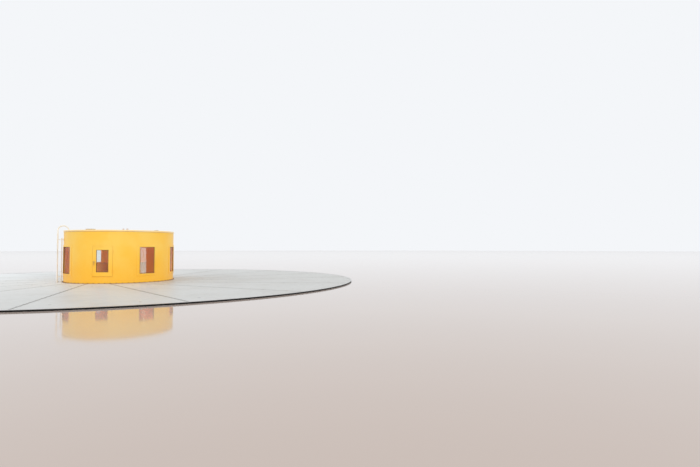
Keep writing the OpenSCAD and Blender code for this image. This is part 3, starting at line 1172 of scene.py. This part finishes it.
@dataclass
class AccessDoor:
    """The hinged door: a curved leaf with its own window, a lever handle and two hinges."""

    window: Pair = (0.44, 0.85)
    window_foot: float = 0.478
    pane_back: float = 0.034  # from the wall's face to the glass
    seal: RubberSeal = RubberSeal(band=0.014, thick=0.008)
    strap_thick: float = 0.006
    strap_screw: SocketScrew = SocketScrew(across=0.013, proud=0.002)
    strap_holes: Point = (0.03, 0.055, 0.08)  # from the hinge's axis
    hinge_x: float = 0.377
    hinge_heights: Pair = (0.525, 1.27)

    def pane_seal(self) -> Piece:
        """Models the rubber seal of the leaf's pane.

        Returns:
            The seal.
        """
        shape = bmesh.new()
        middle = self.window_foot + self.window[1] / 2
        place = outward(DOOR_AZIMUTH, DRUM_RADIUS - self.pane_back, middle)
        self.seal.add(shape, self.window, place)
        return place_piece("door_pane_seal", shape, Body.DOOR, SEAL_RUBBER)

    def strap_screws(self, side: int, body: Body, name: str) -> Piece:
        """Models the screws of the hinge straps on one side.

        Args:
            side: -1 for the straps on the leaf, 1 for those on the wall.
            body: The body that the straps belong to.
            name: The piece's name.

        Returns:
            The screws, as one piece.
        """
        shape = bmesh.new()
        face = DRUM_RADIUS + self.strap_thick
        for height in self.hinge_heights:
            for hole in self.strap_holes:
                turn = math.degrees(math.asin((self.hinge_x + side * hole) / face))
                self.strap_screw.add(shape, outward(DOOR_AZIMUTH + turn, face, height))
        return place_piece(name, shape, body, SHADED_WALL_ENAMEL)

    def build(self) -> None:
        """Finishes the door's nodes and adds its fixings."""
        dress(DOOR_ENAMEL, "door_leaf")
        # the hinges take the wall's enamel, with its painted shade towards the floor
        dress(SHADED_WALL_ENAMEL, "door_hinges", "wall_hinges")
        dress(BRASS, "door_handle")
        dress(PANE, "door_pane")
        self.pane_seal()
        self.strap_screws(-1, Body.DOOR, "leaf_strap_screws")
        self.strap_screws(1, Body.HOUSING, "wall_strap_screws")


@dataclass
class Roof:
    """The flat roof: four plates on the rim's ledge, low covers and lifting lugs."""

    plates: int = 4
    face: float = top_of("roof_plate_1")
    screw: SocketScrew = SocketScrew(across=0.02, proud=0.0025)
    edge_circle: float = 1.985
    edge_count: int = 48
    seam_azimuth: float = -67.5
    seam_from: float = 0.2  # from the roof's middle to a seam's first screws
    seam_back: float = 0.035  # from the seam to a row of screws
    seam_pitch: float = 0.25

    def screws(self) -> Piece:
        """Models the screws along the roof plates' edges.

        Returns:
            The screws, as one piece.
        """
        shape = bmesh.new()
        for k in range(self.edge_count):
            azimuth = (k + 0.5) * 360 / self.edge_count
            self.screw.add(shape, upright(azimuth, self.edge_circle, self.face))
        count = int((self.edge_circle - self.seam_from) / self.seam_pitch)
        for k in range(self.plates):
            turn = turned(self.seam_azimuth + k * 360 / self.plates)
            for step in range(count):
                for side in (-self.seam_back, self.seam_back):
                    along = self.seam_from + step * self.seam_pitch
                    self.screw.add(shape, turn @ Matrix.Translation((along, side, self.face)))
        return place_piece("roof_screws", shape, Body.HOUSING, ZINC)

    def build(self) -> None:
        """Finishes the roof's nodes and adds its fixings."""
        dress(DRUM_ENAMEL, "roof_plate_")
        dress(HATCH_ENAMEL, "roof_hatches")
        dress(GREY_ENAMEL, "lifting_lugs")
        self.screws()


@dataclass
class Ladder:
    """The white tube ladder with goosenecks that pass over the rim."""

    azimuth: float = -157.5
    stile: float = 2.29  # from the drum's axis to the stiles
    width: float = 0.44
    foot: float = 0.11  # side of the square plate under a stile
    foot_face: float = top_of("drum_floor") + 0.01
    bolt: HexBolt = HexBolt(flats=0.016, washer=0.022)
    bolt_in: float = 0.018  # from the plate's edges to a bolt

    def foot_bolts(self) -> Piece:
        """Models two anchor bolts in each stile's foot.

        Returns:
            The bolts, as one piece.
        """
        shape = bmesh.new()
        turn = turned(self.azimuth)
        for side in (-1, 1):
            for step in (-1, 1):
                reach = step * (self.foot / 2 - self.bolt_in)
                spot = (self.stile + reach, side * self.width / 2 + reach, self.foot_face)
                self.bolt.add(shape, turn @ Matrix.Translation(spot))
        return place_piece("ladder_foot_bolts", shape, Body.HOUSING, ZINC)

    def build(self) -> None:
        """Finishes the ladder's nodes and adds its fixings."""
        dress(LADDER_ENAMEL, "ladder_")
        self.foot_bolts()


@dataclass
class Collector:
    """The casing of the brush gear and the housing of the slip rings, inside the drum."""

    bolt: HexBolt = HexBolt(flats=0.019, washer=0.026)
    bolt_in: float = 0.03  # from a lid's edge to its bolts
    lid_bolt_counts: tuple[tuple[str, int], ...] = (
        ("brush_gear_casing", 36), ("collector_housing", 24)
    )

    def lid_bolts(self) -> Piece:
        """Models the bolts of both lids.

        Returns:
            The bolts, as one piece.
        """
        shape = bmesh.new()
        for node, count in self.lid_bolt_counts:
            for k in range(count):
                place = upright(k * 360 / count, reach_of(node) - self.bolt_in, top_of(node))
                self.bolt.add(shape, place)
        return place_piece("collector_lid_bolts", shape, Body.HOUSING, ZINC)

    def build(self) -> None:
        """Finishes the collector's nodes and adds its fixings."""
        dress(INNER_SHADED_ENAMEL, *(node for node, _ in self.lid_bolt_counts))
        self.lid_bolts()


# Studio


@dataclass(frozen=True)
class BroadLamp:
    """A far, broad and soft lamp: its name, strength, and the direction that it shines in."""

    name: str
    strength: float
    towards: Point


@dataclass(frozen=True)
class FlatLamp:
    """A flat lamp that lights some CAD nodes alone."""

    name: str
    spot: Point
    aim: Point  # the point that it faces
    size: Pair
    power: float
    shade: str
    unseen: tuple[str, ...]  # kinds of rays that don't see it
    lights: tuple[str, ...]  # how the lit nodes' names start


def aimed(spot: Point, towards: Vector) -> Matrix:
    """Gives a place at a spot whose local -Z points towards a direction."""
    return Matrix.Translation(spot) @ towards.to_track_quat("-Z", "Y").to_matrix().to_4x4()


@dataclass
class Studio:
    """Plain pale floor, soft light and the camera at the photograph's place."""

    floor_radius: float = 200.0
    floor_drop: float = 0.001
    floor_shade: str = "#C9BAB2"
    floor_roughness: float = 0.06
    floor_index: float = 1.45
    sky_shade: str = "#F4F6F9"
    light_shade: str = "#FBFAF8"
    light_strength: float = 0.82
    lens: float = 24.0
    sensor: float = 36.0
    camera_spot: Point = (6.787, -21.011, 1.42)
    camera_azimuth: float = 81.78
    camera_pitch: float = 1.72
    camera_reach: float = 1000.0
    chamber_count: int = 8
    chamber_power: float = 7.0
    chamber_radius: float = 1.5
    chamber_height: float = 1.88
    chamber_size: float = 0.08
    chamber_shade: str = "#FFE2BC"
    broad_angle: float = 35.0  # degrees across, as the object sees it
    broad_lamps: tuple[BroadLamp, ...] = (
        BroadLamp("right_lamp", 1.08, (-0.75, 0.65, -0.3)),
        BroadLamp("left_lamp", 0.76, (0.75, 0.6, -0.3)),
    )
    softbox: FlatLamp = FlatLamp(
        "side_softbox",
        spot=(-14.0, 1.0, 9.0),
        aim=(0.0, 0.0, 0.0),
        size=(10.0, 10.0),
        power=1500.0,
        shade="#EAF3FF",
        unseen=("camera", "glossy"),
        lights=("cover_", "kerb", "drum_floor"),
    )
    strip: FlatLamp = FlatLamp(
        "strip_lamp",
        spot=(6.153, -2.903, 0.8),
        aim=(1.45, -1.45, 0.8),
        size=(0.26, 1.45),
        power=8.0,
        shade="#DFFFF8",
        unseen=("camera", "diffuse"),
        lights=("window_panes",),
    )

    def floor(self) -> None:
        """Lays the polished floor just under the object."""
        shape = bmesh.new()
        bmesh.ops.create_circle(shape, cap_ends=True, segments=180, radius=self.floor_radius)
        bmesh.ops.translate(shape, verts=shape.verts, vec=(0, 0, -self.floor_drop))
        mesh = bpy.data.meshes.new("studio_floor")
        shape.to_mesh(mesh)
        shape.free()
        material = bpy.data.materials.new("polished_studio_floor")
        material.use_nodes = True
        tree = material.node_tree
        tree.nodes.clear()
        paint = add_node(
            tree,
            "BsdfPrincipled",
            inputs={
                "Base Color": linear(self.floor_shade),
                "Roughness": self.floor_roughness,
                "IOR": self.floor_index,
            },
        )
        add_node(tree, "OutputMaterial", inputs={"Surface": paint.outputs[0]})
        mesh.materials.append(material)
        ground = bpy.data.objects.new("studio_floor", mesh)
        bpy.context.scene.collection.objects.link(ground)

    def sky(self) -> None:
        """Makes the world: white where the camera, gloss or glass sees it, soft light else."""
        world = bpy.data.worlds.new("soft_sky")
        bpy.context.scene.world = world
        world.use_nodes = True
        tree = world.node_tree
        tree.nodes.clear()
        rays = add_node(tree, "LightPath")
        direct = add_node(
            tree,
            "Math",
            {"operation": "MAXIMUM"},
            {0: rays.outputs["Is Camera Ray"], 1: rays.outputs["Is Transmission Ray"]},
        )
        seen = add_node(
            tree,
            "Math",
            {"operation": "MAXIMUM"},
            {0: direct.outputs[0], 1: rays.outputs["Is Glossy Ray"]},
        )
        light = add_node(
            tree, "Background", inputs={0: linear(self.light_shade), 1: self.light_strength}
        )
        back = add_node(tree, "Background", inputs={0: linear(self.sky_shade), 1: 1.0})
        mixed = add_node(
            tree, "MixShader", inputs={0: seen.outputs[0], 1: light.outputs[0], 2: back.outputs[0]}
        )
        add_node(tree, "OutputWorld", inputs={"Surface": mixed.outputs[0]})

    def hang(
        self, name: str, lamp: bpy.types.Light, place: Matrix, unseen: tuple[str, ...]
    ) -> Piece:
        """Hangs a lamp.

        Args:
            name: Its name.
            lamp: The lamp.
            place: Where it hangs. It shines along local -Z.
            unseen: Kinds of rays that don't see it, such as camera.

        Returns:
            The hung lamp.
        """
        obj = bpy.data.objects.new(name, lamp)
        bpy.context.scene.collection.objects.link(obj)
        obj.matrix_world = place
        for rays in unseen:
            setattr(obj, "visible_" + rays, False)
        return obj

    def chamber_lamps(self) -> None:
        """Hangs small lamps under the drum's roof, which light what shows through the windows."""
        lamp = bpy.data.lights.new("chamber_lamp", "POINT")
        lamp.energy = self.chamber_power
        lamp.shadow_soft_size = self.chamber_size
        lamp.color = linear(self.chamber_shade)[:3]
        for k in range(self.chamber_count):
            azimuth = (k + 0.5) * 360 / self.chamber_count
            place = upright(azimuth, self.chamber_radius, self.chamber_height)
            self.hang(f"chamber_lamp_{k + 1}", lamp, place, ("camera", "transmission"))

    def front_lamps(self) -> None:
        """Hangs two broad soft lamps in front of the drum, one at each side."""
        for broad in self.broad_lamps:
            lamp = bpy.data.lights.new(broad.name, "SUN")
            lamp.energy = broad.strength
            lamp.angle = math.radians(self.broad_angle)
            place = aimed((0.0, 0.0, 0.0), Vector(broad.towards))
            self.hang(broad.name, lamp, place, ("glossy",))

    def flat_lamp(self, flat: FlatLamp) -> None:
        """Hangs a flat lamp and links it to the nodes that it lights.

        Args:
            flat: The lamp to hang.
        """
        lamp = bpy.data.lights.new(flat.name, "AREA")
        lamp.shape = "RECTANGLE"
        lamp.size, lamp.size_y = flat.size
        lamp.energy = flat.power
        lamp.color = linear(flat.shade)[:3]
        place = aimed(flat.spot, Vector(flat.aim) - Vector(flat.spot))
        obj = self.hang(flat.name, lamp, place, flat.unseen)
        lit = bpy.data.collections.new(flat.name + "_shows_in")
        for name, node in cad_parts.items():
            if name.startswith(flat.lights):
                lit.objects.link(node)
        obj.light_linking.receiver_collection = lit

    def camera(self) -> None:
        """Stands the camera where the photograph's perspective puts it."""
        data = bpy.data.cameras.new("photo_camera")
        data.lens = self.lens
        data.sensor_width = self.sensor
        data.clip_end = self.camera_reach
        obj = bpy.data.objects.new("photo_camera", data)
        bpy.context.scene.collection.objects.link(obj)
        obj.location = self.camera_spot
        obj.rotation_euler = (
            math.radians(90 + self.camera_pitch),
            0.0,
            math.radians(self.camera_azimuth - 90),
        )
        bpy.context.scene.camera = obj

    def build(self) -> None:
        """Sets up the whole studio."""
        bpy.context.scene.view_settings.view_transform = "Standard"
        self.floor()
        self.sky()
        self.chamber_lamps()
        self.front_lamps()
        self.flat_lamp(self.softbox)
        self.flat_lamp(self.strip)
        self.camera()


def main() -> None:
    """Builds the sub-assemblies and the studio in order."""
    logging.basicConfig(level=logging.INFO, format="%(name)s: %(message)s")
    for part in (FloorCover(), DrumShell(), AccessDoor(), Roof(), Ladder(), Collector(), Studio()):
        part.build()
        LOG.info("%s is done", type(part).__name__)


if __name__ == "__main__":
    main()
